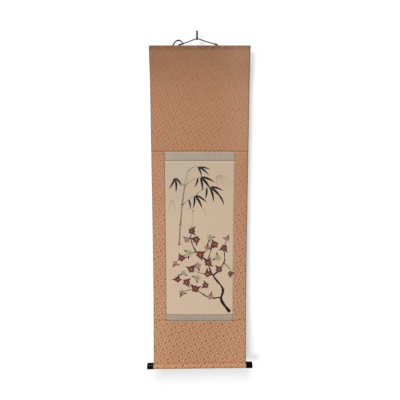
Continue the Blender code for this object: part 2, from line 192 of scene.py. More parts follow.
class Shape:
    """Collects the points, faces, flat-cloth coordinates and material slots of one mesh."""

    def __init__(self):
        self.points = []
        self.faces = []
        self.corners = []
        self.slots = []

    def add_grid(self, rows, coordinates, slot=0, closed=False, flip=False):
        """A grid of rows of points. closed joins each row's last point to its first."""
        start, count = len(self.points), len(rows[0])
        self.points += [point for row in rows for point in row]
        for i in range(len(rows) - 1):
            for j in range(count if closed else count - 1):
                after = (j + 1) % count
                corners = [(i, j), (i + 1, j), (i + 1, after), (i, after)]
                places = [(i, j), (i + 1, j), (i + 1, j + 1), (i, j + 1)]
                if flip:
                    corners.reverse()
                    places.reverse()
                self.faces.append([start + a * count + b for a, b in corners])
                self.corners.append([coordinates[a][b] for a, b in places])
                self.slots.append(slot)

    def add_face(self, indices, coordinates):
        self.faces.append(list(indices))
        self.corners.append(coordinates)
        self.slots.append(0)

    def add_round(self, rows, coordinates):
        """A closed grid with a face across each end."""
        start, count = len(self.points), len(rows[0])
        self.add_grid(rows, coordinates, closed=True)
        total = len(self.points)
        self.add_face(range(start + count - 1, start - 1, -1), [coordinates[0][0]] * count)
        self.add_face(range(total - count, total), [coordinates[-1][0]] * count)

    def make(self, name, materials):
        mesh = bpy.data.meshes.new(name)
        mesh.from_pydata(self.points, [], self.faces)
        add_map(mesh, "flat", self.corners)
        for made in materials:
            mesh.materials.append(made)
        mesh.polygons.foreach_set("material_index", self.slots)
        mesh.shade_smooth()
        mesh.update()
        piece = add_object(name, mesh)
        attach(piece, "root")
        return piece


def arc(centre, radius, start, end, steps):
    """Points (y, z) on an arc. Angles run from +Y towards +Z."""
    turns = [start + (end - start) * i / steps for i in range(steps + 1)]
    return [(centre[0] + radius * math.cos(t), centre[1] + radius * math.sin(t)) for t in turns]


def ramp(t):
    t = min(1.0, max(0.0, t))
    return t * t * (3 - 2 * t)


def spaced(start, end, most=CELL):
    """Evenly spaced numbers from start to end, no further apart than most."""
    count = max(1, math.ceil((end - start) / most - 1e-6))
    return [start + (end - start) * i / count for i in range(count + 1)]


def run_lengths(points):
    """How far along the line each of its points is."""
    return [0.0, *accumulate((b - a).length for a, b in zip(points, points[1:]))]


def heading(points, i):
    """The direction of a line at its point i."""
    return (points[min(i + 1, len(points) - 1)] - points[max(i - 1, 0)]).normalized()


def smooth_curve(route, step):
    """Points about a step apart on a smooth curve through the route's own points."""
    ends = [2 * route[0] - route[1], *route, 2 * route[-1] - route[-2]]
    found = []
    for a, b, c, d in zip(ends, ends[1:], ends[2:], ends[3:]):
        count = max(1, round((c - b).length / step))
        for i in range(count):
            t = i / count
            bend = 2 * a - 5 * b + 4 * c - d
            twist = 3 * b - a - 3 * c + d
            found.append(0.5 * (2 * b + (c - a) * t + bend * t**2 + twist * t**3))
    return [*found, route[-1]]


# ---- The hanging cloth's surface ----


def sway(drop):
    return SWAY * max(0.0, (drop - SWAY_START) / (CREASE - SWAY_START)) ** SWAY_POWER


def curl(x, drop):
    side = CURL_LEFT if x < 0 else CURL_RIGHT
    along = ramp((drop - CURL_STARTS) / CURL_GROWS) * ramp((CREASE - drop) / CURL_ENDS)
    return side * along * abs(2 * x / WIDTH) ** CURL_POWER


def lower_left(x, drop):
    return ROLLER_TILT * x * ramp((drop - CHI_SEAM) / (CREASE - CHI_SEAM))


def ripple(x, drop):
    """The shallow troughs that rolling up has left, which die out at the two rods."""
    fade = ramp((drop - FOLD_PIVOT) / 0.08) * ramp((CREASE - drop) / 0.10)
    rolled = 0.00042 * math.sin(2 * math.pi * drop / 0.262 + 0.9 * math.sin(5.1 * x) + 0.6)
    finer = 0.00016 * math.sin(2 * math.pi * drop / 0.091 + 1.1 * math.sin(9.7 * x + 2.0))
    upright = 0.00030 * math.sin(2 * math.pi * x / 0.173 + 1.9 * drop + 0.8)
    return fade * (rolled + finer + upright)


def face_point(x, drop):
    """A point on the front face of the hanging cloth, x measured from the scroll's middle."""
    y = FACE_Y - sway(drop) + curl(x, drop) + ripple(x, drop)
    return Vector((MIDDLE_X + x, y, TOP_Z - drop + lower_left(x, drop)))


def hanging_rows(xs, drops):
    return [[face_point(x, drop) for x in xs] for drop in drops]


def grid_normals(rows):
    """The way out of the front face at each point of a grid with rows from left to right."""
    last, end = len(rows) - 1, len(rows[0]) - 1
    found = []
    for i, row in enumerate(rows):
        line = []
        for j in range(len(row)):
            down = rows[min(i + 1, last)][j] - rows[max(i - 1, 0)][j]
            right = row[min(j + 1, end)] - row[max(j - 1, 0)]
            line.append(down.cross(right).normalized())
        found.append(line)
    return found


def cloth(name, rows, xs, lengths, materials, set_back=0.0):
    """A closed thin cloth. lengths says how far down the flat cloth each row is."""
    normals = grid_normals(rows)
    thick = CLOTH - set_back
    front = [[p - n * set_back for p, n in zip(*pair)] for pair in zip(rows, normals)]
    back = [[p - n * thick for p, n in zip(*pair)] for pair in zip(front, normals)]
    places = [[(x, -length) for x in xs] for length in lengths]
    shape = Shape()
    shape.add_grid(front, places)
    shape.add_grid(back, places, slot=1, flip=True)
    # the edge: down the left side, along the bottom, up the right side and back along the top
    count, size = len(xs), len(rows) * len(xs)
    rim = [*range(0, size, count), *range(size - count + 1, size)]
    rim += [*range(size - count - 1, 0, -count), *range(count - 2, -1, -1)]
    for a, b in zip(rim, rim[1:]):
        i, j = divmod(min(a, b), count)
        shape.add_face([a, size + a, size + b, b], [places[i][j]] * 4)
    return shape.make(name, materials)


def tipped(point):
    y, z = point[0], point[1] + FOLD_PIVOT
    cos, sin = math.cos(HEAD_TILT), math.sin(HEAD_TILT)
    return (y * cos - z * sin, y * sin + z * cos - FOLD_PIVOT)


def fold_section():
    """The outer face of the top fold, from its hem behind, over the rod and down in front."""
    corner = GAP + CLOTH
    back = arc((corner, -FOLD_RADIUS), FOLD_RADIUS, FOLD_LEAVES, math.pi / 2, 26)
    front = arc((corner, -corner), corner, math.pi / 2, math.pi, 5)
    hem_y = 2 * CLOTH + GAP
    slope = math.tan(math.pi / 2 + FOLD_LEAVES)
    meets = back[0][1] - (back[0][0] - hem_y) * slope
    bend = [(hem_y, meets - HEM_BEND), (hem_y + HEM_BEND, meets + HEM_BEND * slope)]
    hem = [(hem_y, z) for z in spaced(meets - HEM, meets - HEM_BEND, FINE_CELL)]
    flat = [(0.0, z) for z in spaced(-FOLD_PIVOT, -corner, FINE_CELL)[1:-1]]
    return hem[:-1] + bend + [tipped(p) for p in back + front[1:] + flat[::-1]]


def lengths_to(section, end):
    """The flat distance of each point of a section, the last of which is at end."""
    found = [end]
    for a, b in zip(reversed(section[:-1]), reversed(section[1:])):
        found.append(found[-1] - math.dist(a, b))
    return found[::-1]


def make_ten(materials):
    section = fold_section()
    xs = spaced(-WIDTH / 2, WIDTH / 2)
    drops = spaced(FOLD_PIVOT, TEN_SEAM - GAP / 2)
    rows = [[Vector((MIDDLE_X + x, FACE_Y + y, TOP_Z + z)) for x in xs] for y, z in section]
    rows += hanging_rows(xs, drops)
    lengths = lengths_to(section + [(0.0, -FOLD_PIVOT)], FOLD_PIVOT)[:-1] + drops
    piece = cloth("upper_cloth", rows, xs, lengths, materials)
    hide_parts("ten")
    lengths[-1] - lengths[0]


def roller_frame():
    """In y and z, the roller's axis and the ways back and up square to the cloth there, and how far
    the crease is above the axis."""
    step = 0.001
    slope = math.atan((sway(CREASE) - sway(CREASE - step)) / step)
    back = Vector((math.cos(slope), -math.sin(slope)))
    up = Vector((math.sin(slope), math.cos(slope)))
    fillet = WRAP_RADIUS + CREASE_RADIUS
    rise = math.sqrt(fillet**2 - (WRAP_SET_BACK - CREASE_RADIUS) ** 2)
    crease = Vector((FACE_Y - sway(CREASE), TOP_Z - CREASE))
    return crease - back * WRAP_SET_BACK - up * rise, back, up, rise


def make_chi(materials):
    axis, back, up, rise = roller_frame()
    fillet = (WRAP_SET_BACK - CREASE_RADIUS, rise)
    touch = math.atan2(fillet[1], fillet[0])
    crease = arc(fillet, CREASE_RADIUS, 0, touch - math.pi, 5)
    wrap = arc((0, 0), WRAP_RADIUS, touch, WRAP_STOPS, 72)
    section = [axis + back * u + up * v for u, v in crease[1:] + wrap[1:]]
    xs = spaced(-WIDTH / 2, WIDTH / 2)
    lengths = spaced(CHI_SEAM + GAP / 2, CREASE)
    rows = hanging_rows(xs, lengths)
    before = Vector((FACE_Y - sway(CREASE), TOP_Z - CREASE))
    for point in section:
        y, z = point
        rows.append([Vector((MIDDLE_X + x, y, z + ROLLER_TILT * x)) for x in xs])
        lengths.append(lengths[-1] + (point - before).length)
        before = point
    piece = cloth("lower_cloth", rows, xs, lengths, materials)
    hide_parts("chi")
    lengths[-1] - lengths[0]


def make_panel(name, node, sides, drops, materials, set_back=0.0):
    """A flat-cut cloth or paper between two x places and two drops."""
    xs, lengths = spaced(*sides), spaced(*drops)
    piece = cloth(name, hanging_rows(xs, lengths), xs, lengths, materials, set_back)
    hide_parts(node)
    flat = (sides[1] - sides[0], drops[1] - drops[0])
    return piece


# ---- Materials ----


def new_material(name):
    material = bpy.data.materials.new(name)
    material.use_nodes = True
    return material, material.node_tree, material.node_tree.nodes["Principled BSDF"]


def feed(tree, node, inputs):
    """Links each named or numbered input to a number or a socket, or sets it to a plain value."""
    for name, value in inputs.items():
        if isinstance(value, Num):
            value = value.socket
        if isinstance(value, bpy.types.NodeSocket):
            tree.links.new(value, node.inputs[name])
        else:
            node.inputs[name].default_value = value


def add_node(tree, kind, inputs, **settings):
    node = tree.nodes.new("ShaderNode" + kind)
    for name, value in settings.items():
        setattr(node, name, value)
    feed(tree, node, inputs)
    return node


class Num:
    """A number in a material's nodes. Arithmetic on it adds the nodes."""

    def __init__(self, tree, socket):
        self.tree = tree
        self.socket = socket

    def math(self, kind, *others):
        inputs = dict(enumerate((self, *others)))
        return Num(self.tree, add_node(self.tree, "Math", inputs, operation=kind).outputs[0])

    def __add__(self, other):
        return self.math("ADD", other)

    def __mul__(self, other):
        return self.math("MULTIPLY", other)

    def __sub__(self, other):
        return self.math("SUBTRACT", other)

    def __rsub__(self, other):
        return self.math("MULTIPLY", -1.0).math("ADD", other)

    def __truediv__(self, other):
        return self.math("DIVIDE", other)

    def __abs__(self):
        return self.math("ABSOLUTE")

    def step(self, start, end):
        """0 at start and 1 at end, with a smooth rise between them. start may be above end."""
        inputs = {"Value": self, "From Min": min(start, end), "From Max": max(start, end)}
        inputs["To Min"], inputs["To Max"] = (0.0, 1.0) if start < end else (1.0, 0.0)
        node = add_node(self.tree, "MapRange", inputs, interpolation_type="SMOOTHSTEP")
        return Num(self.tree, node.outputs["Result"])


def highest(*numbers):
    found = numbers[0]
    for number in numbers[1:]:
        found = found.math("MAXIMUM", number)
    return found


class Surface:
    """One material being made: its shader, its coordinates, and its colour so far."""

    def __init__(self, name, coordinates="UV"):
        self.material, self.tree, self.shader = new_material(name)
        self.place = add_node(self.tree, "TexCoord", {}).outputs[coordinates]
        self.x, self.y, self.z = self.split(self.place)

    def split(self, socket):
        parts = add_node(self.tree, "SeparateXYZ", {0: socket})
        return [Num(self.tree, out) for out in parts.outputs]

    def noise(self, scale, detail, roughness=0.5, stretch=(1, 1, 1)):
        """Noise from 0 to 1 at this many cells a metre."""
        place = add_node(self.tree, "Mapping", {"Scale": stretch, "Vector": self.place}).outputs[0]
        inputs = {"Vector": place, "Scale": scale, "Detail": detail, "Roughness": roughness}
        return Num(self.tree, add_node(self.tree, "TexNoise", inputs).outputs[0])

    def mix(self, factor, first, second):
        """A colour between two, each a tuple or a colour that mix gave."""
        inputs = {"Factor": factor}
        for number, value in ((6, first), (7, second)):
            inputs[number] = (*value, 1) if isinstance(value, tuple) else value
        return add_node(self.tree, "Mix", inputs, data_type="RGBA").outputs[2]

    def base(self, factor, first, second):
        """Starts the colour as a mix of two."""
        self.colour = self.mix(factor, first, second)

    def lay(self, factor, colour):
        """Lays a colour over what's there, as densely as factor says."""
        self.colour = self.mix(factor, self.colour, colour)

    def finish(self, roughness, height, depth=0.0002, specular=0.5, **fixed):
        """Sets the colour, the roughness, a bump of this depth in metres, and the fixed inputs."""
        bump = add_node(self.tree, "Bump", {"Distance": depth, "Height": height}).outputs[0]
        inputs = {name.replace("_", " "): value for name, value in fixed.items()}
        inputs |= {"Base Color": self.colour, "Roughness": roughness, "Normal": bump}
        feed(self.tree, self.shader, inputs | {"Specular IOR Level": specular})
        return self.material


def tile(surface, width, height, lean=0.0):
    """Places in a repeat of this size in metres, in which every second column drops by half."""
    across = (surface.x - surface.y * lean) / width + 40.0
    column = across.math("FLOOR")
    up = surface.y / height + column.math("MODULO", 2.0) * 0.5
    return (across.math("FRACT") - 0.5) * width, (up.math("FRACT") - 0.5) * height


def leaf(x, y, at, turn, size):
    """A leaf's body and its shaded half. at and size are in the unit of x and y."""
    cos, sin = math.cos(math.radians(turn)), math.sin(math.radians(turn))
    dx, dy = x - at[0], y - at[1]
    along = (dx * cos + dy * sin) / size[0]
    aside = (dy * cos - dx * sin) / size[1]
    inside = (along * along + abs(aside)).step(1.12, 0.80)
    return inside, inside * aside.step(0.18, -0.18)


# The silk's repeat: its width and height in metres, and how far it leans
REPEAT = (0.054, 0.0398, 0.42)
SPRIG = (
    # x, y, turn, half length, half width, in mm and degrees, and how dark its shaded side is
    (-19.5, -12.0, 74, 7.0, 4.4, 0.60),
    (-16.0, 1.5, 42, 8.0, 4.6, 1.00),
    (-20.0, 14.0, 96, 6.8, 4.2, 0.80),
    (-1.5, -14.5, 52, 7.8, 4.5, 0.85),
    (1.5, -1.0, 118, 6.6, 4.2, 0.60),
    (-3.0, 12.0, 66, 8.2, 4.7, 1.00),
    (16.0, -10.0, 88, 7.0, 4.3, 0.95),
    (19.5, 3.5, 30, 7.6, 4.5, 0.70),
    (15.0, 16.0, 62, 7.4, 4.4, 0.85),
)
# Narrow dark leaves between them, as place, turn and half sizes, and the places of small buds
STROKES = (
    ((8.5, 5.0), 66, (8.0, 2.5)),
    ((-9.0, -5.5), 58, (8.4, 2.6)),
)
BUDS = ((-0.5, -7.5), (10.5, -2.5), (-10.5, 8.5), (9.0, 14.5), (-25.0, -3.0), (24.0, -15.0))


def silk_pattern(surface):
    """A leafy sprig in a half-drop repeat: its leaves, its dark sides, its stems and its buds."""
    x, y = tile(surface, *REPEAT)
    leaves, shaded = [], []
    for row in SPRIG:
        inside, dark = leaf(x * 1000.0, y * 1000.0, row[:2], row[2], row[3:5])
        leaves.append(inside)
        shaded.append(dark * row[5])
    for stroke in STROKES:
        shaded.append(leaf(x * 1000.0, y * 1000.0, *stroke)[0] * 0.85)
    bow = y - x * 0.62 + x * x * 14.0 - 0.0008
    stem = abs(bow).step(0.0012, 0.0006) * abs(x).step(0.0165, 0.0150)
    buds = []
    for bud_x, bud_y in BUDS:
        aside, up = x - bud_x / 1000, y - bud_y / 1000
        buds.append((aside * aside + up * up).step(5.0e-6, 2.0e-6))
    return highest(*leaves), highest(*shaded), stem, highest(*buds)


def weave(surface, pitch):
    """The threads of a plain weave as a height from 0 to 1."""
    warp, weft = ((place * (2 * math.pi / pitch)).math("SINE") for place in (surface.x, surface.y))
    return (warp * weft) * 0.5 + 0.5


def from_edge(surface, width):
    """The distance in from the side edges of a cloth this wide."""
    return width / 2 - abs(surface.x)


def seam_at(surface, drop, outer, inner):
    """A soft line across the cloth at this drop, for a seam's painted shadow: 0 from outer metres
    away, 1 from inner.
    """
    return abs(surface.y + drop).step(outer, inner)


# How far the painted shadow line of the seams beside the picture reaches, out and past its two ends
SEAM_ROUNDS = 0.0045


def make_silk(name):
    """The light brown patterned silk of the mounting, darker and browner towards its head, which is
    painted shade, and with its pattern there washed out by painted sheen.
    """
    s = Surface(name)
    leaves, shaded, stem, buds = silk_pattern(s)
    # The pattern is weaker towards the head, where painted sheen washes it out. The two noises vary
    # its strength at random.
    strong = s.y.step(0.0, -0.12) * 0.06 + s.y.step(-0.10, -0.5) * 0.26
    strong = strong + s.y.step(-0.60, -1.15) * 0.52 + 0.18
    strong = strong * (s.noise(9.0, 3.0).step(0.25, 0.75) * 0.25 + 0.75)
    strong = strong * (s.noise(75.0, 2.0).step(0.30, 0.70) * 0.70 + 0.60)
    hue = s.noise(14.0, 3.0, 0.6).step(0.30, 0.70)
    s.base(hue, (0.545, 0.222, 0.100), (0.520, 0.246, 0.120))
    threads = s.noise(900.0, 1.0, 0.5, (1, 0.25, 1))
    s.lay(threads * 0.30, (0.37, 0.18, 0.09))
    s.lay(leaves * strong * 0.95, (0.90, 0.56, 0.36))
    s.lay(highest(shaded, stem * 0.6) * strong, (0.145, 0.050, 0.020))
    s.lay(buds * strong * 0.9, (0.85, 0.56, 0.38))
    # Painted shade: the cloth darkens towards its head.
    head = s.y.step(-0.30, 0.0) * 0.26 + s.y.step(-1.10, -0.20) * 0.08
    s.lay(head, (0.10, 0.062, 0.040))
    # Painted shade over the band in front of the top rod, broken up into smudges by noise.
    rod = s.y.step(-0.034, -0.004) * (s.noise(40.0, 3.0, 0.6).step(0.32, 0.68) * 0.8 + 0.3)
    s.lay(rod * 0.46, (0.060, 0.038, 0.028))
    smudges = s.noise(38.0, 3.0, 0.6).step(0.48, 0.72) * s.y.step(-0.62, -0.05)
    s.lay(smudges * 0.20, (0.10, 0.070, 0.050))
    # Lighter on the right side, most of all at the head, and a little on the left side below the
    # head.
    lighter_patches = s.x.step(0.06, 0.25) * (s.y.step(-0.62, -0.52) * 0.07 + 0.05)
    lighter_patches = lighter_patches + s.x.step(-0.15, -0.22) * s.y.step(-0.55, -0.62) * 0.07
    s.lay(lighter_patches, (0.86, 0.56, 0.37))
    # Painted shade on the underside of the roller's wrap.
    roller_underside_shade = s.y.step(-CREASE - 0.040, -CREASE - 0.056)
    s.lay(roller_underside_shade * 0.40, (0.085, 0.045, 0.028))
    # Painted shadow lines where the cloths overlap: along the picture's sides and across the seams
    # above and below.
    beside = (abs(s.x) - PANEL_WIDTH / 2).step(SEAM_ROUNDS, 0.0010)
    beside = beside * s.y.step(SEAM_ROUNDS - TEN_SEAM, -TEN_SEAM)
    beside = beside * s.y.step(-CHI_SEAM - SEAM_ROUNDS, -CHI_SEAM)
    seam_shadow = highest(
        seam_at(s, TEN_SEAM, 0.0016, 0.0006) * 0.25,
        seam_at(s, CHI_SEAM, 0.0016, 0.0006) * 0.15,
        beside * 0.45,
    )
    s.lay(seam_shadow * 0.55, (0.17, 0.105, 0.065))
    # Painted shade along the side edges, where they curl back.
    edge = from_edge(s, WIDTH).step(0.0060, 0.0020)
    s.lay(edge * 0.60, (0.20, 0.145, 0.115))
    height = weave(s, 0.0009) * 0.25 + leaves * 0.5 + threads * 0.2
    roughness = 0.66 - leaves * 0.12 + threads * 0.08
    return s.finish(roughness, height, 0.00025, 0.25, Sheen_Weight=0.05, Sheen_Roughness=0.4)


def make_brocade(name):
    """The fine greyish strips above and below the picture: small lozenges with a spot in each."""
    s = Surface(name)
    x, y = tile(s, 0.0125, 0.0125)
    lozenge = abs(abs(x) + abs(y) - 0.0058).step(0.0019, 0.0009)
    round_spot = x * x + y * y
    spot = round_spot.step(7.0e-6, 3.2e-6)
    petals = abs(abs(x) - abs(y)).step(0.0009, 0.0003) * round_spot.step(15.0e-6, 9.0e-6)
    hue = s.noise(12.0, 3.0).step(0.3, 0.7)
    s.base(hue, (0.470, 0.385, 0.280), (0.540, 0.400, 0.320))
    threads = s.noise(1100.0, 1.0, 0.5, (1, 0.3, 1))
    s.lay(threads * 0.35, (0.30, 0.24, 0.17))
    s.lay(s.y.step(-1.2, -0.8) * 0.35, (0.640, 0.520, 0.400))
    strong = s.noise(7.0, 2.0).step(0.3, 0.7) * 0.6 + 0.4
    s.lay(lozenge * strong * 0.8, (0.16, 0.125, 0.090))
    s.lay(highest(spot, petals) * strong * 0.9, (0.88, 0.76, 0.62))
    rim = highest(
        from_edge(s, PANEL_WIDTH).step(0.0050, 0.0020),
        s.y.step(-PAPER_TOP + 0.008, -PAPER_TOP) * s.y.step(-1.0, -0.8) * 1.2,
    )
    s.lay(rim * 0.5, (0.60, 0.44, 0.31))
    # Painted shadow lines along the strips' seams, darkest where the lower strip meets the picture.
    seam_shadow = highest(
        seam_at(s, TEN_SEAM, 0.0028, 0.0010) * 0.25,
        seam_at(s, CHI_SEAM, 0.0022, 0.0008) * 0.15,
        seam_at(s, PAPER_END, 0.0040, 0.0016) * 0.8,
    )
    s.lay(seam_shadow * 0.6, (0.15, 0.11, 0.075))
    height = weave(s, 0.0008) * 0.3 + spot * 0.5 + threads * 0.2
    roughness = 0.62 - spot * 0.15
    return s.finish(roughness, height, Sheen_Weight=0.05, specular=0.25)


def lay_paper(s):
    """The aged paper of the picture, a little greyer at its upper left and darker towards its top,
    which is painted shade.
    """
    hue = s.noise(8.0, 3.0, 0.6).step(0.3, 0.7)
    s.base(hue, (0.690, 0.530, 0.370), (0.700, 0.520, 0.390))
    # Painted shade: the paper darkens towards its top. The same mask keeps the grey to the upper
    # part.
    high = s.y.step(-1.05, -0.60)
    s.lay(high * 0.10, (0.30, 0.25, 0.19))
    greyer = (s.x - s.y * 0.25).step(0.30, 0.02) * high
    s.lay(greyer * 0.55, (0.560, 0.495, 0.380))
    flecks = s.noise(420.0, 2.0, 0.6).step(0.66, 0.78)
    s.lay(flecks * 0.22, (0.40, 0.29, 0.19))
    foxing = s.noise(23.0, 3.0, 0.6).step(0.68, 0.80)
    s.lay(foxing * 0.20, (0.46, 0.32, 0.20))


def paper_height(s):
    return s.noise(700.0, 3.0, 0.6) * 0.6 + weave(s, 0.0011) * 0.25


def make_paper(name):
    s = Surface(name)
    lay_paper(s)
    s.lay(from_edge(s, PANEL_WIDTH).step(0.0055, 0.0020) * 0.40, (0.74, 0.55, 0.39))
    return s.finish(0.82, paper_height(s), 0.00012, specular=0.2)


PIGMENTS = {
    "ink": (0.010, 0.0085, 0.0085),
    "red": (0.165, 0.038, 0.040),
    "rose": (0.40, 0.185, 0.160),
    "ochre": (0.52, 0.38, 0.12),
    "green": (0.46, 0.42, 0.25),
}


def make_paint(name):
    """Ink and colours brushed on the paper. The map "brush" holds the pigment's number and the
    place across the brush in u, and how dense the colour is in v."""
    s = Surface(name)
    brush = add_node(s.tree, "UVMap", {}, uv_map="brush").outputs[0]
    which, dense = s.split(brush)[:2]
    number = which.math("FLOOR")
    aside = abs(which - number - 0.5) * 2.2
    pigment, *others = PIGMENTS.values()
    for i, other in enumerate(others, 1):
        pigment = s.mix(number.math("COMPARE", float(i), 0.5), pigment, other)
    dry = s.noise(260.0, 3.0, 0.7, (1, 0.6, 1))
    pooled = s.noise(38.0, 3.0, 0.6) * 0.5 + 0.70
    edge = (aside + (dry - 0.5) * 0.5).step(1.0, 0.78)
    cover = (dense * pooled * edge * 1.25).math("MINIMUM", 1.0)
    scratched = (dry - dense * 0.55).step(0.42, 0.16)
    lay_paper(s)
    s.lay(cover * scratched, pigment)
    return s.finish(0.82 - cover * 0.10, paper_height(s), 0.00012, specular=0.2)


def make_lining(name):
    """The fibrous paper that lines every cloth from behind."""
    s = Surface(name)
    s.base(s.noise(6.0, 5.0, 0.6), (0.60, 0.52, 0.41), (0.70, 0.62, 0.50))
    fibres = s.noise(160.0, 4.0, 0.7, (1, 0.18, 1)).step(0.60, 0.72)
    s.lay(fibres * 0.35, (0.47, 0.38, 0.27))
    stains = s.noise(14.0, 3.0, 0.6).step(0.62, 0.80)
    s.lay(stains * 0.30, (0.44, 0.33, 0.21))
    height = s.noise(240.0, 5.0, 0.65, (1, 0.3, 1))
    return s.finish(0.88, height, 0.0003, specular=0.2)


def make_lacquer(name):
    """Black lacquer with a trace of brown and fine rubbing."""
    s = Surface(name, "Object")
    rubbed = s.noise(55.0, 4.0, 0.6).step(0.35, 0.75)
    s.base(rubbed, (0.0012, 0.0010, 0.0010), (0.0045, 0.0028, 0.0022))
    height = s.noise(260.0, 3.0, 0.5)
    return s.finish(rubbed * 0.06 + 0.08, height, 0.00002, specular=0.05)


def make_wood(name):
    """Pale straight-grained wood, its grain along X, with rings on its ends."""
    s = Surface(name, "Object")
    wander = s.noise(30.0, 3.0, 0.5, (0.15, 1, 1)) * 0.006
    rings = ((s.y + wander) * 900.0).math("SINE") * 0.5 + 0.5
    grain = s.noise(700.0, 4.0, 0.6, (0.03, 1, 1))
    s.base(rings * 0.6 + grain * 0.4, (0.50, 0.33, 0.19), (0.34, 0.20, 0.105))
    return s.finish(grain * 0.15 + 0.55, grain)


def make_metal(name, dark, worn, roughness, metallic=0.0):
    """Blackened metal, worn bare in specks and a little rough."""
    s = Surface(name, "Object")
    wear = s.noise(420.0, 5.0, 0.65).step(0.60, 0.74)
    cloud = s.noise(90.0, 3.0)
    s.base(cloud, dark, tuple(n * 1.7 for n in dark))
    s.lay(wear * 0.7, worn)
    height = s.noise(800.0, 4.0, 0.6)
    rough = cloud * 0.2 + roughness
    return s.finish(rough, height, 0.00006, Metallic=metallic, specular=0.08)


def make_braid(name):
    """A round braid: two sets of strands that cross. x is the turn round the cord, y the length."""
    s = Surface(name)
    strands, length = s.x * 4.0, s.y / 0.0042
    both = (strands + length, strands - length)
    over = highest(*((turns * (2 * math.pi)).math("SINE") for turns in both)) * 0.5 + 0.5
    fuzz = s.noise(1500.0, 2.0)
    s.base(over * 0.7 + fuzz * 0.3, (0.004, 0.003, 0.003), (0.015, 0.012, 0.011))
    return s.finish(0.85, over * 0.8 + fuzz * 0.2, 0.0003, specular=0.15)


def make_ribbon_cloth(name):
    """A flat woven ribbon with two thin lighter lines."""
    s = Surface(name)
    ribs = (s.y * (2 * math.pi / 0.0011)).math("SINE") * 0.5 + 0.5
    line = abs(abs(s.x) - RIBBON_WIDTH * 0.28).step(0.0006, 0.0003)
    fuzz = s.noise(1300.0, 2.0)
    s.base(ribs * 0.5 + fuzz * 0.5, (0.004, 0.003, 0.003), (0.014, 0.011, 0.010))
    s.lay(line * 0.4, (0.060, 0.046, 0.035))
    return s.finish(0.80, ribs * 0.7 + fuzz * 0.3, 0.00025, specular=0.15)


# ---- Painting ----


# How far in from the cloths' faces the first stroke lies, just above the paper, and how far each
# later one lies over the one before
PAINT_SET_BACK = 0.00012
PAINT_RISES = 0.0000003
# Places across a stroke, from edge to edge
ACROSS = (-1.0, -0.5, 0.0, 0.5, 1.0)


class Painting:
    """Brush strokes on the picture paper. Places are x from its middle and drop, in metres."""

    def __init__(self):
        self.shape = Shape()
        self.brushed = []
        self.lift = -PAINT_SET_BACK

    def place(self, x, drop):
        """A point just above the paper's front."""
        step = 0.002
        down = face_point(x, drop + step) - face_point(x, drop - step)
        right = face_point(x + step, drop) - face_point(x - step, drop)
        return face_point(x, drop) + down.cross(right).normalized() * self.lift

    def add(self, rows, brushed):
        """A grid of flat places. brushed has what the map "brush" holds for each of them."""
        points = [[self.place(x, drop) for x, drop in row] for row in rows]
        self.shape.add_grid(points, [[(x, -drop) for x, drop in row] for row in rows])
        for i in range(len(rows) - 1):
            for j in range(len(rows[0]) - 1):
                corners = ((i, j), (i + 1, j), (i + 1, j + 1), (i, j + 1))
                self.brushed.append([brushed[a][b] for a, b in corners])
        self.lift += PAINT_RISES

    def stroke(self, route, width, dense, shape="leaf"):
        """A stroke of ink along the route. dense is at its two ends, and shape says how its width
        changes on the way."""
        line = smooth_curve([Vector((x, drop)) for x, drop in route], 0.006)
        last = len(line) - 1
        number = list(PIGMENTS).index("ink") + 0.5
        rows, brushed = [], []
        for i, point in enumerate(line):
            t = i / last
            if shape == "leaf":
                wide = max(0.02, math.sin(math.pi * t**0.62) ** 0.75)
            elif shape == "taper":
                wide = 1.0 - 0.72 * t + 0.13 * math.sin(31 * t + 60 * width)
            else:
                wide = 0.80 + 0.35 * abs(2 * t - 1) ** 6
            along = heading(line, i)
            aside = Vector((-along.y, along.x)) * (-0.5 * width * wide)
            row = [point + aside * a for a in ACROSS]
            rows.append([(p.x, p.y) for p in row])
            shade = dense[0] * (1 - t) + dense[1] * t
            brushed.append([(number + 0.45 * a, shade) for a in ACROSS])
        self.add(rows, brushed)

    def dab(self, middle, size, turn, pigment, dense):
        """A round or oval touch of the brush. dense is at its middle and at its rim."""
        number = list(PIGMENTS).index(pigment) + 0.5
        cos, sin = math.cos(turn), math.sin(turn)
        rows, brushed = [], []
        for ring, density in ((0.02, dense[0]), (0.6, sum(dense) / 2), (1.0, dense[1])):
            row = []
            for i in range(15):
                angle = -2 * math.pi * i / 14
                wave = 1 + 0.06 * math.sin(3 * angle + 400 * middle[0])
                a = ring * size[0] * math.cos(angle) * wave
                b = ring * size[1] * math.sin(angle) * wave
                row.append((middle[0] + a * cos - b * sin, middle[1] + a * sin + b * cos))
            rows.append(row)
            brushed.append([(number, density)] * 15)
        self.add(rows, brushed)

    def make(self, name, material):
        piece = self.shape.make(name, [material])
        add_map(piece.data, "brush", self.brushed)
        return piece


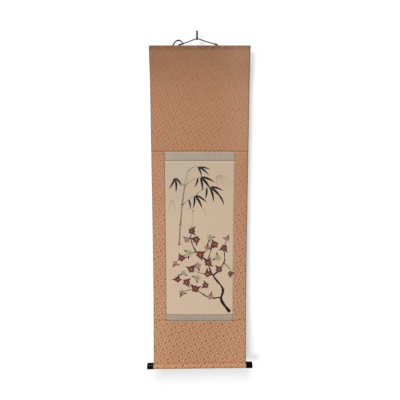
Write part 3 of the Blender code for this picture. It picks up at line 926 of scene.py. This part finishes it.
# The picture, in mm. Bamboo: culms from joint to joint with their widths, twigs as routes, then
# leaves as where each starts, its direction in degrees below level to the right, its length and width
CULMS = (
    (((-118, 1090), (-112, 985)), 12.5),
    (((-111, 978), (-101, 868)), 12),
    (((-100, 861), (-86, 757)), 11.2),
    (((-85, 750), (-66, 664)), 10),
    (((-45, 985), (-40, 900)), 6),
    (((-39, 896), (-29, 815)), 5.6),
)
TWIGS = (
    ((-101, 866), (-60, 826), (-26, 806)),
    ((-85, 755), (-48, 722), (6, 702)),
    ((-85, 755), (-118, 718), (-140, 706)),
    ((-29, 815), (12, 772), (60, 758)),
    ((-66, 668), (-40, 650), (-8, 644)),
)
LEAVES = (
    (-8, 644, 38, 78, 12), (-12, 642, 68, 64, 11), (-4, 646, 12, 66, 10),
    (6, 702, 52, 92, 15), (4, 704, 82, 80, 13), (8, 700, 22, 84, 13),
    (-10, 706, 108, 58, 11), (-140, 706, 118, 74, 12), (-138, 708, 88, 84, 13),
    (-134, 706, 58, 60, 11), (60, 758, 46, 96, 15), (58, 760, 76, 88, 14),
    (62, 756, 18, 78, 12), (40, 762, 98, 66, 12), (-26, 806, 62, 86, 14),
    (-30, 808, 96, 74, 12), (-22, 804, 34, 78, 12), (-62, 828, 82, 60, 11),
    (108, 800, 64, 70, 11),
)
PALE_LEAVES = (
    (100, 690, 58, 84, 14), (104, 690, 28, 72, 12), (96, 692, 92, 70, 12),
    (-160, 830, 70, 76, 12), (-164, 832, 104, 62, 11), (20, 880, 74, 62, 11),
)

# Plum: branches as routes with a width, then blossoms as middle, size and pigment
BRANCHES = (
    (((176, 1492), (126, 1418), (134, 1352), (74, 1268), (40, 1180)), 20),
    (((40, 1184), (-22, 1128), (-52, 1052), (-40, 1000)), 11),
    (((78, 1274), (140, 1196), (142, 1112), (160, 1052)), 10),
    (((128, 1404), (52, 1402), (-30, 1356), (-104, 1372)), 10),
    (((42, 1190), (66, 1110), (56, 1048)), 7),
    (((-18, 1132), (-86, 1152), (-140, 1196)), 7),
    (((-28, 1358), (-80, 1306), (-128, 1290)), 6),
    (((142, 1200), (178, 1240), (184, 1290)), 5),
    (((74, 1268), (0, 1256), (-46, 1232)), 6),
)
BLOSSOMS = (
    (-46, 1010, 19, "red"), (-20, 1060, 21, "red"), (-74, 1062, 17, "rose"),
    (58, 1046, 18, "green"), (86, 1090, 21, "red"), (44, 1108, 18, "rose"),
    (140, 1110, 19, "red"), (158, 1056, 15, "rose"), (2, 1148, 22, "red"),
    (-58, 1140, 21, "green"), (-106, 1170, 19, "red"), (-142, 1202, 16, "rose"),
    (104, 1168, 20, "green"), (48, 1196, 21, "red"), (-12, 1214, 20, "rose"),
    (-50, 1236, 20, "red"), (178, 1262, 15, "red"), (112, 1236, 19, "red"),
    (46, 1262, 20, "red"), (-94, 1256, 17, "green"), (-128, 1296, 18, "red"),
    (-78, 1312, 20, "red"), (-14, 1286, 19, "green"), (-26, 1352, 21, "red"),
    (-104, 1376, 17, "rose"), (34, 1330, 18, "red"), (62, 1398, 18, "rose"),
)


def metres(route):
    return [(x / 1000, drop / 1000) for x, drop in route]


def around(x, drop, angle, distance):
    return (x + math.cos(angle) * distance, drop + math.sin(angle) * distance)


def add_leaf(painting, row, dense):
    x, drop, turn, length, width = row
    angle = math.radians(turn)
    along = Vector((math.cos(angle), math.sin(angle))) * (length / 1000)
    start = Vector((x / 1000, drop / 1000))
    bowed = start + along * 0.5 + Vector((along.y, -along.x)) * 0.05
    route = [tuple(start), tuple(bowed), tuple(start + along)]
    painting.stroke(route, width / 1000, dense=dense)


def add_blossom(painting, x, drop, size, pigment, turn):
    """Five petals, a yellow heart, and seven stamens with ink tips."""
    shades = (0.45, 0.95) if pigment in ("rose", "green") else (0.70, 1.05)
    for i in range(5):
        angle = turn + 2 * math.pi * i / 5
        middle = around(x, drop, angle, size * 0.56)
        painting.dab(middle, (size * 0.50, size * 0.44), angle, pigment, shades)
    painting.dab((x, drop), (size * 0.20, size * 0.20), 0.0, "ochre", (0.9, 0.9))
    for i in range(7):
        angle = turn + 0.4 + 2 * math.pi * i / 7
        inner = around(x, drop, angle, size * 0.16)
        outer = around(x, drop, angle, size * 0.52)
        painting.stroke([inner, outer], 0.0011, dense=(0.8, 0.9), shape="even")
        painting.dab(outer, (0.0014, 0.0014), 0.0, "ink", (1.0, 1.0))


def paint_picture():
    painting = Painting()
    for row in PALE_LEAVES:
        add_leaf(painting, row, (0.40, 0.26))
    for route, width in CULMS:
        route, width = metres(route), width / 1000
        dense = 0.62 if width > 0.01 else 0.42
        painting.stroke(route, width, dense=(dense, dense * 0.8), shape="even")
        x, drop = route[0]
        reach = width * 0.62
        knot = [(x - reach, drop - 0.001), (x, drop + 0.003), (x + reach, drop - 0.001)]
        painting.stroke(knot, 0.0036, dense=(1.0, 1.0), shape="even")
    for route in TWIGS:
        painting.stroke(metres(route), 0.0034, dense=(0.85, 0.75), shape="taper")
    for row in LEAVES:
        add_leaf(painting, row, (1.1, 0.85))
    for route, width in BRANCHES:
        painting.stroke(metres(route), width / 1000, dense=(0.95, 0.80), shape="taper")
    for i, (x, drop, size, pigment) in enumerate(BLOSSOMS):
        x, drop, size = x / 1000, drop / 1000, size / 1000
        turn = 2.4 * i
        for side in (-0.9, 0.9):
            far = around(x, drop, turn + side, size * 1.9)
            painting.stroke([(x, drop), far], size * 0.62, dense=(1.0, 0.9))
        add_blossom(painting, x, drop, size, pigment, turn)
    return painting.make("painting", make_paint("brushed_paper"))


# ---- Cord and ribbon ----


def eyelet(side):
    """The middle of an eyelet's ring, and the ring's axis."""
    y, z = tipped((GAP + CLOTH, -FOLD_RADIUS))
    centre = Vector((MIDDLE_X + KAN_X[side], FACE_Y + y, TOP_Z + z))
    turn = Matrix.Rotation(-KAN_LEAN, 3, "X")
    return centre + turn @ Vector((0, 0, KAN_REACH)), turn @ Vector((0, 1, 0))


def leg(side):
    """One leg of the hanging cord: the point of the ring that it pulls on, and its direction."""
    eye, axis = eyelet(side)
    at_hook = Vector((math.copysign(HOOK_WIDTH / 2, KAN_X[side]), eye.y, TOP_Z + CORD_RISE))
    pull = at_hook - eye
    ring_side = eye + (pull - axis * pull.dot(axis)).normalized() * KAN_RING
    return ring_side, (at_hook - ring_side).normalized()


def frames(points, side):
    """For each point of a line, two directions square to it. side is near the first one."""
    found = []
    for i in range(len(points)):
        along = heading(points, i)
        side = (side - along * side.dot(along)).normalized()
        found.append((side, along.cross(side)))
    return found


def add_tube(shape, points, radius, sides=12):
    """A round cord along the points. Its first end is rounded, and its last is nearly flat."""
    rows, places = [], []
    sideways = frames(points, Vector((0.1, 1, 0.05)))
    for point, (u, v), along in zip(points, sideways, run_lengths(points)):
        row = []
        for j in range(sides):
            turn = 2 * math.pi * j / sides
            row.append(point + (u * math.cos(turn) + v * math.sin(turn)) * radius)
        rows.append(row)
        places.append([(j / sides, along) for j in range(sides + 1)])
    first, last = points[0], points[-1]
    near = first + (first - points[1]).normalized() * radius * 0.5
    far = last + (last - points[-2]).normalized() * radius * 0.5
    near_tip = [near + (p - first) * 0.5 for p in rows[0]]
    far_tip = [far + (p - last) * 0.5 for p in rows[-2]]
    shape.add_round([near_tip, *rows, far_tip], [places[0], *places, places[-1]])


def helix(start, towards, length, radius, pitch, phase=0.0):
    """Points of a coil about a line."""
    u, v = frames([start, start + towards], Vector((0, 1, 0.2)))[0]
    count = max(8, round(length / pitch * 14))
    found = []
    for i in range(count + 1):
        turn = phase + 2 * math.pi * length / pitch * i / count
        middle = start + towards * (length * i / count)
        found.append(middle + (u * math.cos(turn) + v * math.sin(turn)) * radius)
    return found


def cord_line(side):
    """The cord's route from inside its winding to just beside the hook, with a little sag."""
    ring_side, towards = leg(side)
    starts = ring_side + towards * (LOOP_RADIUS + CORD_TUCK)
    leaves = ring_side + towards * (LOOP_RADIUS + WINDING_LENGTH)
    rise = CORD_RISE - HOOK_FALL
    beside = Vector((math.copysign(HOOK_WIDTH, KAN_X[side]), leaves.y, TOP_Z + rise))
    return [starts, leaves, leaves.lerp(beside, 0.5) - Vector((0, 0, CORD_SAG)), beside]


def add_eye_loop(shape, side):
    """The cord's loop through an eyelet."""
    ring_side, towards = leg(side)
    axis = eyelet(side)[1]
    about = towards.cross(axis).normalized()
    across = towards.cross(about)
    ring = []
    for i in range(25):
        turn = 2 * math.pi * i / 24
        ring.append(ring_side + (towards * math.cos(turn) + across * math.sin(turn)) * LOOP_RADIUS)
    add_tube(shape, ring, LOOP_CORD, sides=10)


def make_hanging_cord():
    """The braided cord over the hook, with its whipped stretches and its loops in the eyelets."""
    left, right = cord_line("left"), cord_line("right")
    top = Vector((0, left[0].y, TOP_Z + CORD_RISE))
    shape = Shape()
    add_tube(shape, smooth_curve([*left, top, *reversed(right)], 0.003), CORD_RADIUS)
    for side in KAN_X:
        ring_side, towards = leg(side)
        starts = ring_side + towards * LOOP_RADIUS
        winding = helix(starts, towards, WINDING_LENGTH, WINDING_RADIUS, WINDING_PITCH)
        add_tube(shape, winding, WINDING_CORD, sides=8)
        add_eye_loop(shape, side)
    cord = shape.make("hanging_cord", [make_braid("cord_braid")])
    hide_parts("kakeo")


def add_ribbon(shape, points, turns):
    """A flat ribbon with rounded corners. turns are in degrees from facing the wall."""
    half, thick = RIBBON_WIDTH / 2, RIBBON_THICK / 2
    bevel = [(-1, 0.4), (-0.9, 1), (-0.4, 1), (0.4, 1), (0.9, 1), (1, 0.4)]
    outline = [(half * a, -thick * b) for a, b in bevel]
    outline += [(half * a, thick * b) for a, b in reversed(bevel)]
    rows = []
    for i, (point, turn) in enumerate(zip(points, turns)):
        along = heading(points, i)
        flat = Vector((0, 1, 0))
        flat = (flat - along * flat.dot(along)).normalized()
        wide = along.cross(flat)
        spin = Matrix.Rotation(math.radians(turn), 3, along)
        wide, flat = spin @ wide, spin @ flat
        rows.append([point + wide * a + flat * b for a, b in outline])
    across = [a for a, b in outline] + [outline[0][0]]
    shape.add_round(rows, [[(a, length) for a in across] for length in run_lengths(points)])


def make_knot(middle, towards, material):
    """Three bunched turns of the ribbon round the hanging cord, and a bar across them."""
    shape = Shape()
    for offset, radius in KNOT_TURNS:
        turn = helix(middle + towards * offset, towards, 0.0010, radius, pitch=0.0010)
        add_tube(shape, turn, 0.0012, sides=8)
    bar = helix(middle - towards * 0.0030, towards, 0.0060, 0.0042, pitch=0.022, phase=0.9)
    add_tube(shape, bar, 0.0009, sides=8)
    knot = shape.make("ribbon_knot", [material])
    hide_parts("makio_knot")


def make_ribbon():
    ring_side, towards = leg("left")
    middle = ring_side + towards * ((MIDDLE_X + KNOT_X - ring_side.x) / towards.x)
    middle -= Vector((0, 0, CORD_SAG / 4))
    material = make_ribbon_cloth("ribbon_weave")
    make_knot(middle, towards, material)
    leaves = middle + Vector(RIBBON_LEAVES).normalized() * (KNOT_RADIUS + GAP + KNOT_CLEARS)
    marks = [leaves] + [Vector((MIDDLE_X + x, y, TOP_Z + z)) for x, y, z, turn in RIBBON_ROUTE]
    line = smooth_curve(marks, 0.004)
    turns = smooth_turns(marks, [RIBBON_LEAVES_TURNED] + [row[3] for row in RIBBON_ROUTE], line)
    shape = Shape()
    add_ribbon(shape, line, turns)
    ribbon = shape.make("winding_ribbon", [material])
    length = run_lengths(line)[-1]
    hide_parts("makio")


def smooth_turns(marks, turns, line):
    """The ribbon's turn at each point of the line, read between those at the marks by distance."""
    reach, gone, found = run_lengths(marks), run_lengths(line), []
    for length in gone:
        at = length / gone[-1] * reach[-1]
        k = max(j for j in range(len(reach) - 1) if reach[j] <= at + 1e-9)
        t = ramp((at - reach[k]) / (reach[k + 1] - reach[k]))
        found.append(turns[k] * (1 - t) + turns[k + 1] * t)
    return found


# ---- Stage ----


def make_sun(name, travels, strength, angle):
    """A soft light from afar that travels in this direction."""
    data = bpy.data.lights.new(name, "SUN")
    data.energy = strength
    data.angle = math.radians(angle)
    turned = Vector(travels).to_track_quat("-Z", "Y").to_euler()
    add_object(name, data).rotation_euler = turned


def make_plane(name, corners, material):
    mesh = bpy.data.meshes.new(name)
    mesh.from_pydata(corners, [], [(0, 1, 2, 3)])
    mesh.materials.append(material)
    plane = add_object(name, mesh)
    return plane


def make_floor_material():
    material, tree, shader = new_material("floor")
    feed(tree, shader, {"Base Color": (0.80, 0.79, 0.77, 1), "Roughness": 0.8})
    return material


def make_wall_material():
    """White from in front and clear from behind, so that the scroll's back can be looked at."""
    material, tree, shader = new_material("backdrop")
    white = {"Base Color": (0.92, 0.92, 0.92, 1), "Roughness": 1.0, "Specular IOR Level": 0.0}
    feed(tree, shader, white | {"Emission Color": (1, 1, 1, 1), "Emission Strength": WALL_GLOW})
    clear = add_node(tree, "BsdfTransparent", {}).outputs[0]
    behind = add_node(tree, "NewGeometry", {}).outputs["Backfacing"]
    mix = add_node(tree, "MixShader", {0: behind, 1: shader.outputs[0], 2: clear})
    feed(tree, tree.nodes["Material Output"], {"Surface": mix.outputs[0]})
    return material


def make_stage():
    corners = ((-1, -1), (1, -1), (1, 1), (-1, 1))
    floor = [(x * FLOOR_REACH, y * FLOOR_REACH, FLOOR_Z) for x, y in corners]
    make_plane("floor", floor, make_floor_material()).visible_diffuse = False
    wall = [(x * WALL_REACH, WALL_Y, WALL_TOP if y > 0 else FLOOR_Z) for x, y in corners]
    backdrop = make_plane("backdrop", wall, make_wall_material())
    for rays in ("diffuse", "glossy", "transmission", "shadow"):
        setattr(backdrop, "visible_" + rays, False)
    world = bpy.data.worlds.new("studio")
    world.use_nodes = True
    tree = world.node_tree
    feed(tree, tree.nodes["Background"], {"Color": (1.0, 1.0, 1.0, 1), "Strength": ALL_ROUND})
    bpy.context.scene.world = world
    for name, light in LIGHTS.items():
        make_sun(name, *light)
    bpy.context.scene.view_settings.view_transform = "Standard"


def main():
    make_camera()
    make_ribbon()
    make_hanging_cord()
    silk, brocade = make_silk("patterned_silk"), make_brocade("strip_brocade")
    paper, lining = make_paper("picture_paper"), make_lining("lining_paper")
    half, edge = PANEL_WIDTH / 2, WIDTH / 2
    make_ten([silk, lining])
    make_chi([silk, lining])
    for side, sides in (("left", (-edge, -half)), ("right", (half, edge))):
        drops = (TEN_SEAM, CHI_SEAM)
        make_panel("side_strip_" + side, "hashira_" + side, sides, drops, [silk, lining])
    for name, node, drops in (
        ("upper_strip", "ichimonji_top", (TEN_SEAM, PAPER_TOP)),
        ("lower_strip", "ichimonji_bottom", (PAPER_END, CHI_SEAM)),
    ):
        make_panel(name, node, (-half, half), drops, [brocade, lining], STRIP_SET_BACK)
    painting = paint_picture()
    sides, drops, looks = (-half, half), (PAPER_TOP, PAPER_END), [paper, lining]
    make_panel(
        "picture_panel", "honshi", sides, drops, looks, PAPER_SET_BACK
    )
    finishes = {
        "hasso": make_wood("rod_wood"),
        "jikubo": make_wood("roller_wood"),
        "hook": make_metal("hook_steel", (0.002, 0.0018, 0.0018), (0.030, 0.027, 0.025), 0.30),
    }
    iron = ((0.006, 0.005, 0.004), (0.08, 0.06, 0.04), 0.35, 0.1)
    for side in KAN_X:
        finishes["jikusaki_" + side] = make_lacquer(side + "_lacquer")
        finishes["kan_" + side] = make_metal("eyelet_metal_" + side, *iron)
    for node, material in finishes.items():
        for slot in bpy.data.objects[node].material_slots:
            slot.material = material
    make_stage()


main()
